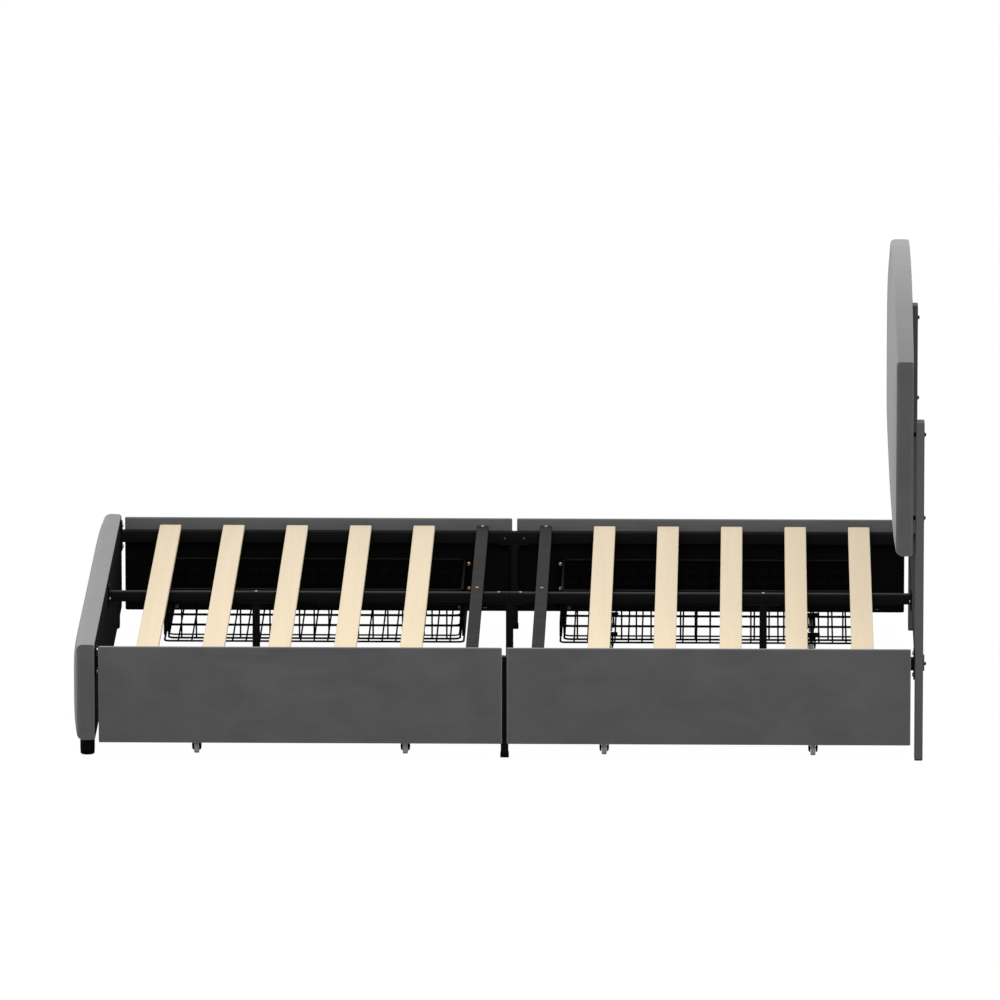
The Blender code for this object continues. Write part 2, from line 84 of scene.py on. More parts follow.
def add_studio():
    scene = bpy.context.scene
    scene.view_settings.view_transform = "Standard"
    world = bpy.data.worlds.new("studio")
    world.use_nodes = True
    background = world.node_tree.nodes["Background"]
    background.inputs["Color"].default_value = (1.0, 1.0, 1.0, 1.0)
    background.inputs["Strength"].default_value = 0.80
    scene.world = world
    add_soft_light("overhead", (0.7, 0.1, 5.0), (0, 0, 0), 5.0, 80)
    add_soft_light("front", (0.3, -6.0, 4.2), (math.radians(57), 0, 0), 4.0, 200)
    reach = 60.0
    corner = np.array([(-reach, -reach), (reach, -reach), (reach, reach), (-reach, reach)])
    points = np.column_stack([corner, np.full(4, -0.0004)])
    mesh = bpy.data.meshes.new("studio_floor")
    mesh.from_pydata(points.tolist(), [], [[0, 1, 2, 3]])
    floor = bpy.data.objects.new("studio_floor", mesh)
    scene.collection.objects.link(floor)
    mesh.materials.append(studio_floor())


# --- Shapes ---


def grid(points, ring=False):
    """Faces over an m by n grid of points whose columns run round and close: face (i, j) has the corners
    (i, j), (i, j+1), (i+1, j+1) and (i+1, j). The first and last rows are filled, or joined to each other
    if the rows run round as well."""
    rows, columns = points.shape[:2]
    number = np.arange(rows * columns).reshape(rows, columns)
    beside = np.roll(number, -1, axis=1)
    if ring:
        above, across = np.roll(number, -1, axis=0), np.roll(beside, -1, axis=0)
    else:
        above, across = number[1:], beside[1:]
        number, beside = number[:-1], beside[:-1]
    faces = np.stack([number, beside, across, above], axis=-1).reshape(-1, 4).tolist()
    if not ring:
        faces.append(number[0][::-1].tolist())
        faces.append(above[-1].tolist())
    return points.reshape(-1, 3), faces


def joined(shapes):
    """One shape from several: each shape's face numbers rise by the count of the points before it."""
    points = np.concatenate([shape[0] for shape in shapes])
    starts = np.cumsum([0] + [len(shape[0]) for shape in shapes[:-1]])
    faces = [[v + start for v in face] for start, shape in zip(starts.tolist(), shapes) for face in shape[1]]
    return points, faces


def moved(shape, offset):
    return shape[0] + np.asarray(offset, float), shape[1]


def repeated(shape, offsets):
    """The shape again at each offset."""
    return joined([moved(shape, offset) for offset in offsets])


def along_x(shape):
    """Lays a shape along X: its Z becomes X, its X becomes Y and its Y becomes Z."""
    return shape[0][:, [2, 0, 1]], shape[1]


def along_y(shape):
    """Lays a shape along Y: its Z becomes Y, its X becomes Z and its Y becomes X."""
    return shape[0][:, [1, 2, 0]], shape[1]


def flipped(shape, axes):
    """Half a turn: the two coordinates of those numbers change sign."""
    signs = np.ones(3)
    signs[list(axes)] = -1
    return shape[0] * signs, shape[1]


def outline(width, height, corner, steps=4):
    """Points round rectangles, with one width, height and corner radius for each: corner k is a quarter
    circle, centre (±(width/2 − corner), ±(height/2 − corner)), at angles from 90k° to 90k + 90°."""
    width, height, corner = (np.atleast_1d(np.asarray(v, float))[:, None] for v in (width, height, corner))
    angle = (np.arange(4)[:, None] * 90 + np.linspace(0, 90, steps + 1)).ravel()
    side_x = np.repeat([1, -1, -1, 1], steps + 1)
    side_y = np.repeat([1, 1, -1, -1], steps + 1)
    x = side_x * (width / 2 - corner) + corner * np.cos(np.radians(angle))
    y = side_y * (height / 2 - corner) + corner * np.sin(np.radians(angle))
    return np.stack(np.broadcast_arrays(x, y), axis=-1)


def rows_of(outlines, heights):
    """Stacks outlines at heights into a grid of points."""
    heights = np.broadcast_to(np.asarray(heights, float)[:, None], outlines.shape[:2])
    return np.concatenate([outlines, heights[..., None]], axis=-1)


def slab(size, corner, edge, steps=3):
    """A block with a round-cornered plan whose top and bottom edges are quarter circles: at angle a from
    −90° to 90° the plan is drawn in by edge·(1 − cos a), at height ±(z/2 − edge) + edge·sin a."""
    x, y, z = size
    angle = np.radians(np.concatenate([np.linspace(-90, 0, steps + 1), np.linspace(0, 90, steps + 1)]))
    inset = edge * (1 - np.cos(angle))
    height = np.repeat([-1, 1], steps + 1) * (z / 2 - edge) + edge * np.sin(angle)
    plan = outline(x - 2 * inset, y - 2 * inset, np.maximum(corner - inset, 0.00005), steps)
    return grid(rows_of(plan, height))


def tube(size, corner, wall, lip=0.0004):
    """A rectangular tube along Z, open at both ends: the outline goes up the outside, over a lip broken by
    that much, down the inside at a depth of wall, and round to where it started."""
    x, y, z = size
    inset = np.array([0, 0, lip, wall - lip, wall, wall, wall - lip, lip])
    height = np.array([lip, z - lip, z, z, z - lip, lip, 0, 0]) - z / 2
    plan = outline(x - 2 * inset, y - 2 * inset, np.maximum(corner - inset, 0.0003))
    return grid(rows_of(plan, height), ring=True)


def rod(path, radius, flat, sides=6, closed=False):
    """A round wire along a path that lies in a plane with the normal flat: at each point its ring is
    radius·(cos a · flat + sin a · across), where across is square to the path and to flat."""
    path = np.asarray(path, float)
    ahead = np.roll(path, -1, axis=0) - np.roll(path, 1, axis=0) if closed else np.gradient(path, axis=0)
    ahead /= np.linalg.norm(ahead, axis=1, keepdims=True)
    flat = np.asarray(flat, float)
    across = np.cross(ahead, flat)
    angle = np.linspace(0, 2 * np.pi, sides, endpoint=False)
    ring = np.cos(angle)[None, :, None] * flat + np.sin(angle)[None, :, None] * across[:, None]
    return grid(path[:, None] + radius * ring, ring=closed)


def loop(width, depth, corner, height, radius, sides=8):
    """A closed wire round a rectangle in plan, at that height."""
    plan = outline(width, depth, corner)[0]
    path = np.column_stack([plan, np.full(len(plan), height)])
    return rod(path, radius, (0, 0, 1), sides, closed=True)


def turned(profile, steps=24, ring=False):
    """A profile of (along, radius) pairs turned about Z: the point at angle a is
    (radius·cos a, radius·sin a, along)."""
    along, radius = np.asarray(profile, float).T
    angle = np.linspace(0, 2 * np.pi, steps, endpoint=False)
    x = radius[:, None] * np.cos(angle)
    y = radius[:, None] * np.sin(angle)
    z = np.broadcast_to(along[:, None], x.shape)
    return grid(np.stack([x, y, z], axis=-1), ring)


def arc(centre, radius, start, stop, steps=5):
    """Points of a profile on a circular arc between two angles in degrees: at angle a the point is
    centre + radius·(sin a, cos a)."""
    angle = np.radians(np.linspace(start, stop, steps))
    return [(centre[0] + radius * math.sin(a), centre[1] + radius * math.cos(a)) for a in angle]


def driven_head(radius, height, recess, cross):
    """A screw head about Z with its seat at 0: its rim rises to a dome, height·(0.45 + 0.55·√(1 − ρ²)) at
    the share ρ of its radius. The recess in its middle has a hexagon for an edge, or a four-pointed star if
    it is a cross-head screw."""
    steps = 24
    angle = np.linspace(0, 2 * np.pi, steps, endpoint=False)
    if cross:
        edge = recess * (0.40 + 0.60 * np.abs(np.cos(2 * angle)) ** 4)
    else:
        sector = np.mod(angle, np.pi / 3) - np.pi / 6
        edge = recess * math.cos(math.pi / 6) / np.cos(sector)
    share = np.array([0.0, 0.35, 0.7, 0.9])
    outer = edge + (radius - edge) * share[::-1, None]
    rise = height * (0.45 + 0.55 * np.sqrt(1 - (outer / radius) ** 2))
    low = np.full(steps, height * 0.35)
    seat = np.stack([radius * 0.94 + 0 * angle, radius + 0 * angle])
    distance = np.concatenate([seat, outer, [edge * 0.9, 0 * angle]])
    rise = np.concatenate([[0 * angle, 0 * angle + height * 0.2], rise, [low, low]])
    return grid(np.stack([distance * np.cos(angle), distance * np.sin(angle), rise], axis=-1))


# --- Pieces ---


def piece(name, shapes, material, body, replaced=()):
    """Makes a piece from shapes that are in place: welds their poles, turns their faces outwards, gives the
    material, and hangs it on its body."""
    points, faces = joined(shapes)
    mesh = bpy.data.meshes.new(name)
    mesh.from_pydata(points.tolist(), [], faces)
    bm = bmesh.new()
    bm.from_mesh(mesh)
    bmesh.ops.remove_doubles(bm, verts=bm.verts, dist=1e-6)
    bmesh.ops.recalc_face_normals(bm, faces=bm.faces)
    bm.to_mesh(mesh)
    bm.free()
    mesh.shade_smooth()
    mesh.set_sharp_from_angle(angle=SHARP)
    return hang(bpy.data.objects.new(name, mesh), material, body, replaced)


def hang(obj, material, body, replaced=()):
    if obj.name not in bpy.context.scene.collection.objects:
        bpy.context.scene.collection.objects.link(obj)
    obj.data.materials.clear()
    obj.data.materials.append(material)
    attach(obj, body)
    if replaced:
        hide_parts(*replaced)
    return obj


def span(node):
    """The middle and the size of a CAD node's box, as arrays."""
    low, high = (np.array(corner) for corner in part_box(node))
    return (low + high) / 2, high - low


# --- Materials ---


def node(tree, kind, inputs=None, **settings):
    """Adds a node; each input is a number, a colour or the socket that feeds it."""
    made = tree.nodes.new(kind)
    for key, value in settings.items():
        setattr(made, key, value)
    for key, value in (inputs or {}).items():
        if isinstance(value, bpy.types.NodeSocket):
            tree.links.new(value, made.inputs[key])
        else:
            made.inputs[key].default_value = value
    return made


def mixed(tree, factor, first, second):
    """A blend of two colours. A colour Mix node has its factor at input 0 and its colours at 6 and 7."""
    return node(tree, "ShaderNodeMix", {0: factor, 6: first, 7: second}, data_type="RGBA").outputs[2]


def combined(tree, operation, first, second=0.0, clamp=False):
    """The result of a Math node."""
    inputs = {0: first, 1: second}
    return node(tree, "ShaderNodeMath", inputs, operation=operation, use_clamp=clamp).outputs[0]


def levels(tree, value, low, high, to_low, to_high):
    inputs = {"Value": value, "From Min": low, "From Max": high, "To Min": to_low, "To Max": to_high}
    return node(tree, "ShaderNodeMapRange", inputs).outputs["Result"]


def stretched(tree, vector, scale):
    return node(tree, "ShaderNodeMapping", {"Vector": vector, "Scale": scale}).outputs[0]


def noise(tree, vector, scale, detail=3.0, roughness=0.55, distortion=0.0):
    inputs = {
        "Vector": vector,
        "Scale": scale,
        "Detail": detail,
        "Roughness": roughness,
        "Distortion": distortion,
    }
    return node(tree, "ShaderNodeTexNoise", inputs).outputs["Fac"]


def facing(tree, axis):
    """How far the surface faces along an axis of the bed."""
    normal = node(tree, "ShaderNodeNewGeometry").outputs["Normal"]
    return node(tree, "ShaderNodeSeparateXYZ", {0: normal}).outputs[axis]


EFFECTS = ("Colour", "Roughness", "Height")  # what each group puts out


def new_group(name, *inputs):
    """A shader node group with a vector and the named inputs, its input node and its vector. An input whose
    name starts with Colour is a colour, and any other is a number."""
    group = bpy.data.node_groups.new(name, "ShaderNodeTree")
    kinds = {"Vector": "NodeSocketVector", "Colour": "NodeSocketColor"}
    sockets = [("INPUT", key) for key in ("Vector", *inputs)] + [("OUTPUT", key) for key in EFFECTS]
    for way, key in sockets:
        kind = kinds.get(key.split()[0], "NodeSocketFloat")
        group.interface.new_socket(key, in_out=way, socket_type=kind)
    given = group.nodes.new("NodeGroupInput")
    return group, given, given.outputs["Vector"]


def closed(group, *results):
    """The group with its results linked to its outputs."""
    made = group.nodes.new("NodeGroupOutput")
    for key, value in zip(EFFECTS, results):
        group.links.new(value, made.inputs[key])
    return group


def pile_group():
    """Short velvet pile: soft cloudy shading where the nap lies differently, brushed streaks, and a fine
    tufted surface."""
    group, given, at = new_group("pile", "Colour Deep", "Colour Brushed")
    clouds = noise(group, at, 5.5, 2.0, 0.5, 0.6)
    streaks = noise(group, stretched(group, at, (7.0, 7.0, 13.0)), 1.0, 3.0, 0.6, 1.2)
    tufts = noise(group, at, 900.0, 2.0, 0.7)
    nap = levels(group, combined(group, "ADD", clouds, streaks), 0.75, 1.25, 0.0, 0.85)
    tuft_share = levels(group, tufts, 0.35, 0.65, -0.12, 0.12)
    share = combined(group, "ADD", nap, tuft_share, clamp=True)
    colour = mixed(group, share, given.outputs["Colour Deep"], given.outputs["Colour Brushed"])
    height = combined(group, "ADD", combined(group, "MULTIPLY", streaks, 0.5), tufts)
    return closed(group, colour, levels(group, streaks, 0.3, 0.7, 0.82, 0.98), height)


def coat_group():
    """Powder coating: a fine orange-peel surface, faint cloudiness in its gloss, and a little dust that lies
    on the faces turned up."""
    group, given, at = new_group("powder coating", "Colour Coat", "Colour Dust", "Dust")
    peel = noise(group, at, 420.0, 2.0, 0.5)
    cloud = noise(group, at, 14.0, 3.0, 0.6, 0.4)
    lying = combined(group, "MULTIPLY", levels(group, facing(group, "Z"), 0.3, 1.0, 0.0, 1.0), cloud)
    dusty = combined(group, "MULTIPLY", lying, given.outputs["Dust"])
    colour = mixed(group, dusty, given.outputs["Colour Coat"], given.outputs["Colour Dust"])
    return closed(group, colour, levels(group, cloud, 0.3, 0.7, 0.43, 0.48), peel)


def moulded_group():
    """Moulded plastic or rubber: a fine spark-eroded texture with slight scuffing."""
    group, given, at = new_group("moulded surface", "Colour Body", "Colour Scuff")
    texture = noise(group, at, 1500.0, 1.0, 0.5)
    scuffs = noise(group, at, 90.0, 4.0, 0.7, 1.5)
    share = levels(group, scuffs, 0.55, 0.75, 0.0, 0.5)
    colour = mixed(group, share, given.outputs["Colour Body"], given.outputs["Colour Scuff"])
    return closed(group, colour, levels(group, scuffs, 0.3, 0.7, 0.42, 0.62), texture)


def machined_group():
    """A machined and plated fastener: fine turning marks with patches of duller plating."""
    group, given, at = new_group("plated fastener", "Colour Bright", "Colour Dull")
    dull = noise(group, at, 260.0, 3.0, 0.6, 0.5)
    marks = noise(group, at, 2400.0, 1.0, 0.5)
    share = levels(group, dull, 0.4, 0.65, 0.0, 0.7)
    colour = mixed(group, share, given.outputs["Colour Bright"], given.outputs["Colour Dull"])
    return closed(group, colour, levels(group, dull, 0.3, 0.7, 0.22, 0.42), marks)


def new_material(name):
    """A material, its node tree, its shader and its Object coordinates."""
    material = bpy.data.materials.new(name)
    material.use_nodes = True
    tree = material.node_tree
    place = node(tree, "ShaderNodeTexCoord").outputs["Object"]
    return material, tree, tree.nodes["Principled BSDF"], place


def feed(tree, shader, results, strength, distance):
    """Links a colour, a roughness and the height of a bump to the shader."""
    colour, roughness, height = results
    bump = node(tree, "ShaderNodeBump", {"Height": height, "Strength": strength, "Distance": distance})
    tree.links.new(colour, shader.inputs["Base Color"])
    tree.links.new(roughness, shader.inputs["Roughness"])
    tree.links.new(bump.outputs["Normal"], shader.inputs["Normal"])


def surfaced(name, group, values, bump, **constants):
    """A material whose colour, roughness and bump come from a group. Numbers that are the same all over are
    set on the shader itself."""
    material, tree, shader, at = new_material(name)
    effect = tree.nodes.new("ShaderNodeGroup")
    effect.node_tree = group
    tree.links.new(at, effect.inputs["Vector"])
    for key, value in values.items():
        effect.inputs[key].default_value = (*value, 1.0) if isinstance(value, tuple) else value
    feed(tree, shader, [effect.outputs[key] for key in EFFECTS], *bump)
    for key, value in constants.items():
        shader.inputs[key.replace("_", " ")].default_value = value
    return material


def grey_velvet(name, pile, deep, brushed):
    colours = {"Colour Deep": deep, "Colour Brushed": brushed}
    sheen = {"Sheen_Weight": 0.54, "Sheen_Roughness": 0.7, "Sheen_Tint": (0.985, 0.98, 1.0, 1.0)}
    return surfaced(name, pile, colours, (0.25, 0.0004), Specular_IOR_Level=0.0, **sheen)


def coated_steel(name, coat, colour, dust_colour, dust, gloss):
    values = {"Colour Coat": colour, "Colour Dust": dust_colour, "Dust": dust}
    return surfaced(name, coat, values, (0.15, 0.0002), Specular_IOR_Level=gloss)


def moulded(name, surface, colour, scuff, gloss):
    colours = {"Colour Body": colour, "Colour Scuff": scuff}
    return surfaced(name, surface, colours, (0.2, 0.0001), Specular_IOR_Level=gloss)


def plated(name, plating, bright, dull):
    colours = {"Colour Bright": bright, "Colour Dull": dull}
    return surfaced(name, plating, colours, (0.1, 0.00005), Metallic=0.9)


def dust_cloth():
    """The thin black non-woven cloth over the backs: crossed fibres pressed flat in a dotted pattern."""
    material, tree, shader, at = new_material("dust_cloth")
    fibres = noise(tree, at, 620.0, 4.0, 0.75, 2.5)
    dots = node(tree, "ShaderNodeTexVoronoi", {"Vector": at, "Scale": 420.0}).outputs["Distance"]
    height = combined(tree, "ADD", fibres, levels(tree, dots, 0.15, 0.35, 0.0, 1.0))
    colour = mixed(tree, fibres, (0.0012, 0.0012, 0.0014, 1.0), (0.0035, 0.0035, 0.0038, 1.0))
    roughness = levels(tree, fibres, 0.3, 0.7, 0.85, 0.98)
    feed(tree, shader, (colour, roughness, height), 0.3, 0.0002)
    shader.inputs["Specular IOR Level"].default_value = 0.08
    return material


def birch():
    """Pale birch: growth bands that drift along the slat, fine fibres, short pore flecks, and darker ends
    where the saw crossed the grain."""
    material, tree, shader, at = new_material("birch")
    bands = noise(tree, stretched(tree, at, (38.0, 1.1, 60.0)), 1.0, 3.0, 0.55, 0.9)
    fibres = noise(tree, stretched(tree, at, (900.0, 9.0, 900.0)), 1.0, 3.0, 0.6)
    fleck_at = stretched(tree, at, (420.0, 28.0, 420.0))
    flecks = node(tree, "ShaderNodeTexVoronoi", {"Vector": fleck_at, "Scale": 1.0}).outputs["Distance"]
    share = levels(tree, bands, 0.3, 0.7, 0.0, 1.0)
    colour = mixed(tree, share, (0.725, 0.602, 0.424, 1.0), (0.765, 0.642, 0.458, 1.0))
    colour = mixed(tree, levels(tree, fibres, 0.35, 0.65, 0.0, 0.25), colour, (0.66, 0.54, 0.37, 1.0))
    colour = mixed(tree, levels(tree, flecks, 0.05, 0.18, 0.35, 0.0), colour, (0.58, 0.43, 0.26, 1.0))
    endwise = combined(tree, "ABSOLUTE", facing(tree, "Y"))
    colour = mixed(tree, levels(tree, endwise, 0.6, 0.95, 0.0, 0.45), colour, (0.52, 0.37, 0.21, 1.0))
    feed(tree, shader, (colour, levels(tree, fibres, 0.3, 0.7, 0.5, 0.68), fibres), 0.12, 0.0003)
    shader.inputs["Specular IOR Level"].default_value = 0.3
    return material


def studio_floor():
    """Pale matt floor that stays bright for the camera and keeps a faint contact shadow."""
    material, tree, shader, at = new_material("studio_floor")
    tree.nodes.remove(shader)
    tone = mixed(tree, noise(tree, at, 2.0, 2.0), (0.29, 0.29, 0.29, 1.0), (0.31, 0.31, 0.31, 1.0))
    matt = node(tree, "ShaderNodeBsdfDiffuse", {"Color": tone}).outputs[0]
    bright = node(tree, "ShaderNodeEmission", {"Color": (1.0, 1.0, 1.0, 1.0), "Strength": 1.06}).outputs[0]
    seen = node(tree, "ShaderNodeLightPath").outputs["Is Camera Ray"]
    share = combined(tree, "MULTIPLY", seen, 0.93)
    surface = node(tree, "ShaderNodeMixShader", {0: share, 1: matt, 2: bright}).outputs[0]
    tree.links.new(surface, tree.nodes["Material Output"].inputs["Surface"])
    return material


# --- Upholstered panels ---


def eased(distance, radius):
    """A quarter circle: 0 at the border, 1 from radius inwards, √(1 − (1 − d/radius)²) between."""
    return np.sqrt(1 - (1 - np.clip(distance / radius, 0, 1)) ** 2)


def stations(reach, near, far, cell):
    """Distances along a span of length reach whose two ends are rounded: equal steps of the quarter circles'
    angle within near and far of the ends, and even cells between them."""
    turn = np.radians(np.linspace(0, 90, 7)[:-1])
    even = np.linspace(near, reach - far, int((reach - near - far) / cell) + 1)
    return np.concatenate([near * (1 - np.cos(turn)), even, (reach - far * (1 - np.cos(turn)))[::-1]])


def panel_form(half_width, bottom, top, depth, crown, rounds, cell):
    """An upholstered panel facing −X: a front and a back grid over (y, t), joined round the border by walls.
    z = bottom + t·(top(y) − bottom). Each grid is drawn in by radius·(1 − e) near a border, where e is
    the product of the quarter circles across and up, and the front stands out by
    depth + crown·(1 − sᵖ)(1 − u⁴) + bow·(1 − sᵖ), with s and u the places across and up from −1 to 1.
    The walls' rows are even."""
    side, low, high, back_round = rounds
    crown, power, bow = crown
    y = stations(2 * half_width, side, side, cell) - half_width
    tall = top(np.float64(0)) - bottom
    t = stations(tall, low, high, cell) / tall
    y, t = np.meshgrid(y, t, indexing="ij")
    height = top(y) - bottom
    z = bottom + t * height
    s, u = y / half_width, 2 * t - 1
    from_side = half_width - np.abs(y)
    inner = eased(from_side, side) * eased(t * height, low) * eased((1 - t) * height, high)
    largest = np.where(t < 0.5, low, high)
    front = -depth + largest * (1 - inner) - crown * (1 - s**power) * (1 - u**4) - bow * (1 - s**power)
    inner = eased(from_side, back_round) * eased(np.minimum(t, 1 - t) * height, back_round)
    back = -back_round * (1 - inner)
    rows, columns = front.shape
    number = np.arange(rows * columns).reshape(rows, columns)
    border = np.concatenate([number[:-1, 0], number[-1, :-1], number[:0:-1, -1], number[0, :0:-1]])
    flat_y, flat_z = y.ravel()[border], z.ravel()[border]
    share = np.linspace(0, 1, 5)[:, None]
    wall_x = front.ravel()[border] * (1 - share) + back.ravel()[border] * share
    wall = np.stack(np.broadcast_arrays(wall_x, flat_y, flat_z), axis=-1)
    wall_number = np.arange(wall_x.size).reshape(wall_x.shape)
    beside = np.roll(wall_number, -1, axis=1)
    wall_faces = np.stack([wall_number[:-1], beside[:-1], beside[1:], wall_number[1:]], axis=-1)
    corners = np.stack([number[:-1, :-1], number[1:, :-1], number[1:, 1:], number[:-1, 1:]], axis=-1)
    corners = corners.reshape(-1, 4).tolist()
    sheets = [(np.stack([x, y, z], axis=-1).reshape(-1, 3), corners) for x in (front, back)]
    return joined(sheets + [(wall.reshape(-1, 3), wall_faces.reshape(-1, 4).tolist())])


def border_path(half_width, bottom, top, corner=0.012, steps=40):
    """The border of an upholstered panel in the YZ plane, run once round: along the bottom, up the side at
    +Y, along top(y), and down the side at −Y, with the corners cut by that much."""
    y = np.linspace(corner - half_width, half_width - corner, steps)
    z = np.linspace(bottom + corner, top(np.float64(half_width)) - corner, steps // 2)
    low = np.column_stack([y, np.full(steps, bottom)])
    rise = np.column_stack([np.full(len(z), half_width), z])
    high = np.column_stack([y, top(y)])[::-1]
    route = np.concatenate([low, rise, high, rise[::-1] * (-1, 1)])
    return np.column_stack([np.zeros(len(route)), route])


def evaluated(obj):
    """The mesh of an object with its modifiers applied."""
    bpy.context.view_layer.update()
    graph = bpy.context.evaluated_depsgraph_get()
    return bpy.data.meshes.new_from_object(obj.evaluated_get(graph))


def coordinates(mesh):
    flat = np.empty(len(mesh.vertices) * 3)
    mesh.vertices.foreach_get("co", flat)
    return flat.reshape(-1, 3)


SWELL = 0.0018  # the furthest that the cloth moves as it swells
PRESSURE = 4.0
FRAMES = 20
HELD = 0.0015  # the depth in front of a cover's back in which the cloth is held


def upholstered(name, shape, back, box, material, replaced):
    """A tight fabric cover over foam, with its back at the X given. The form swells by cloth pressure with
    its back held, no point moves further than the swell, and the cover is then drawn to the box's width and
    height."""
    scene = bpy.context.scene
    mesh = bpy.data.meshes.new(name)
    mesh.from_pydata(shape[0].tolist(), [], shape[1])
    bm = bmesh.new()
    bm.from_mesh(mesh)
    bmesh.ops.remove_doubles(bm, verts=bm.verts, dist=1e-5)
    bmesh.ops.recalc_face_normals(bm, faces=bm.faces)
    bm.to_mesh(mesh)
    bm.free()
    obj = bpy.data.objects.new(name, mesh)
    scene.collection.objects.link(obj)
    points = before = coordinates(mesh)
    held = obj.vertex_groups.new(name="held")
    held.add(np.flatnonzero(before[:, 0] > back - HELD).tolist(), 1.0, "REPLACE")
    cloth = obj.modifiers.new("swelling", "CLOTH")
    cloth.settings.vertex_group_mass = "held"
    cloth.settings.use_pressure = True
    cloth.settings.uniform_pressure_force = PRESSURE
    cloth.settings.effector_weights.gravity = 0.0
    cloth.settings.quality = 4
    for step in range(1, FRAMES + 1):
        scene.frame_set(step)
    change = coordinates(evaluated(obj)) - before
    length = np.linalg.norm(change, axis=1, keepdims=True)
    points = before + change * np.minimum(1, SWELL / np.maximum(length, 1e-9))
    obj.modifiers.clear()
    obj.vertex_groups.clear()
    scene.frame_set(1)
    low, high = points.min(axis=0)[1:], points.max(axis=0)[1:]
    points[:, 1:] = box[0] + (points[:, 1:] - low) * (box[1] - box[0]) / (high - low)
    mesh.vertices.foreach_set("co", points.ravel())
    mesh.update()
    rounder = obj.modifiers.new("rounder", "SUBSURF")
    rounder.levels = 1
    rounder.render_levels = 1
    mesh.shade_smooth()
    hang(obj, material, BED, replaced)
    return obj


# For each panel: the cover's thickness, how far its back lies in front of the board's back, how far the dust
# cloth stays inside its border, its crown with the crown's power and the bow, and its rounding at the sides,
# the bottom, the top, and all round the back.
ARCH_RADIUS = 2.66
HEAD_THICK = 0.0430
HEAD_SETBACK = 0.0064
HEAD_MARGIN = 0.014
HEAD_CROWN = (0.0065, 4, 0.0045)
HEAD_ROUNDS = (0.006, 0.017, 0.010, 0.006)
FOOT_THICK = 0.0440
FOOT_SETBACK = 0.0010
FOOT_MARGIN = 0.0015
FOOT_CROWN = (0.0085, 10, 0.0035)
FOOT_ROUNDS = (0.006, 0.013, 0.013, 0.005)
PANEL_CELL = 0.010
TACK_INSET = 0.009  # from the dust cloth's border


def upholstery(part, top, thick, setback, margin, crown, rounds, cloths):
    """A padded cover and the dust cloth tacked over its back. top gives the height of the upper edge at y,
    for a border drawn in by inset."""
    board_middle, board = span(f"{part}_board")
    low, high = (np.array(corner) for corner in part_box(f"{part}_pad"))
    back = board_middle[0] + board[0] / 2 - setback
    bottom, half = low[2], high[1]
    form = panel_form(half, bottom, lambda y: top(y, 0), thick - SWELL, crown, rounds, PANEL_CELL)
    box = np.stack([low[1:] + (-0.0012, 0.0010), high[1:] + 0.0010])
    form = moved(form, (back, 0, 0))
    upholstered(f"{part}_cover", form, back, box, cloths["velvet"], [f"{part}_pad"])
    edge = border_path(half - margin, bottom + margin, lambda y: top(y, margin))
    rows = np.stack([edge - (0.0002, 0, 0), edge + (0.0006, 0, 0)]) + (back, 0, 0)
    piece(f"{part}_backing", [grid(rows)], cloths["dust"], BED, [f"{part}_board"])
    tack = along_x(driven_head(0.0035, 0.0008, 0.0008, False))
    inset = margin + TACK_INSET
    tacks = border_path(half - inset, bottom + inset, lambda y: top(y, inset), 0.02, 26)
    spots = tacks + (back + 0.0005, 0, 0)
    piece(f"{part}_tacks", [repeated(tack, spots)], cloths["plastic"], BED)


def add_headboard(cloths):
    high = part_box("headboard_pad")[1][2]

    def arch(y, inset):
        return high - inset - (ARCH_RADIUS - np.sqrt(ARCH_RADIUS**2 - y**2))

    sizes = (HEAD_THICK, HEAD_SETBACK, HEAD_MARGIN, HEAD_CROWN, HEAD_ROUNDS)
    upholstery("headboard", arch, *sizes, cloths)


def add_footboard(cloths):
    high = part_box("footboard_pad")[1][2]

    def level(y, inset):
        return high - inset + 0 * y

    sizes = (FOOT_THICK, FOOT_SETBACK, FOOT_MARGIN, FOOT_CROWN, FOOT_ROUNDS)
    upholstery("footboard", level, *sizes, cloths)
    for side in SIDES:
        name = f"footboard_foot_{side}"
        middle, size = span(name)
        radius, tall = size[0] / 2, size[2]
        profile = [(0, 0), (0, radius - 0.004)]
        profile += arc((0.003, radius - 0.0035), 0.003, -90, 0)
        profile += [(0.009, radius - 0.0003), (0.0095, radius - 0.001), (0.0105, radius - 0.001)]
        profile += [(0.011, radius), (tall - 0.004, radius), (tall - 0.0025, radius - 0.001)]
        profile += [(tall, radius - 0.001), (tall, 0)]
        shape = moved(turned(profile, 36), middle - (0, 0, tall / 2))
        piece(name + "_glide", [shape], cloths["plastic"], BED, [name])


# --- Steel frame ---

RAIL_WIDTH = 0.020
RAIL_TALL = 0.030
CENTRE_RAIL_TALL = 0.025
RAIL_CORNER = 0.0025
PLATE_THICK = 0.003
WALL = 0.0015
SLEEVE_LENGTH = 0.110
JOINER = (0.050, 0.015, 0.0012)
LEG = (0.018, 0.019)
SADDLE_THICK = 0.0030
POST_BOLT_Y = 0.707
POST_BOLT_HEIGHTS = (0.789, 0.587)  # through the headboard
POST_PLATE_HEIGHT = 0.235
POST_PLATE_BOLT = 0.2325
SLAT_SCREWS = (-0.693, -0.014, 0.693)
BOLT = (0.0048, 0.0034, 0.0022)  # head radius, head height and recess radius
PLATE_SCREW = (0.0040, 0.0030, 0.0024)
POST_BOLT = (0.0043, 0.0045, 0.0022)
SCREW = (0.0042, 0.0024, 0.0026)
SPLICE_SCREW = (0.0028, 0.0018, 0.0016)


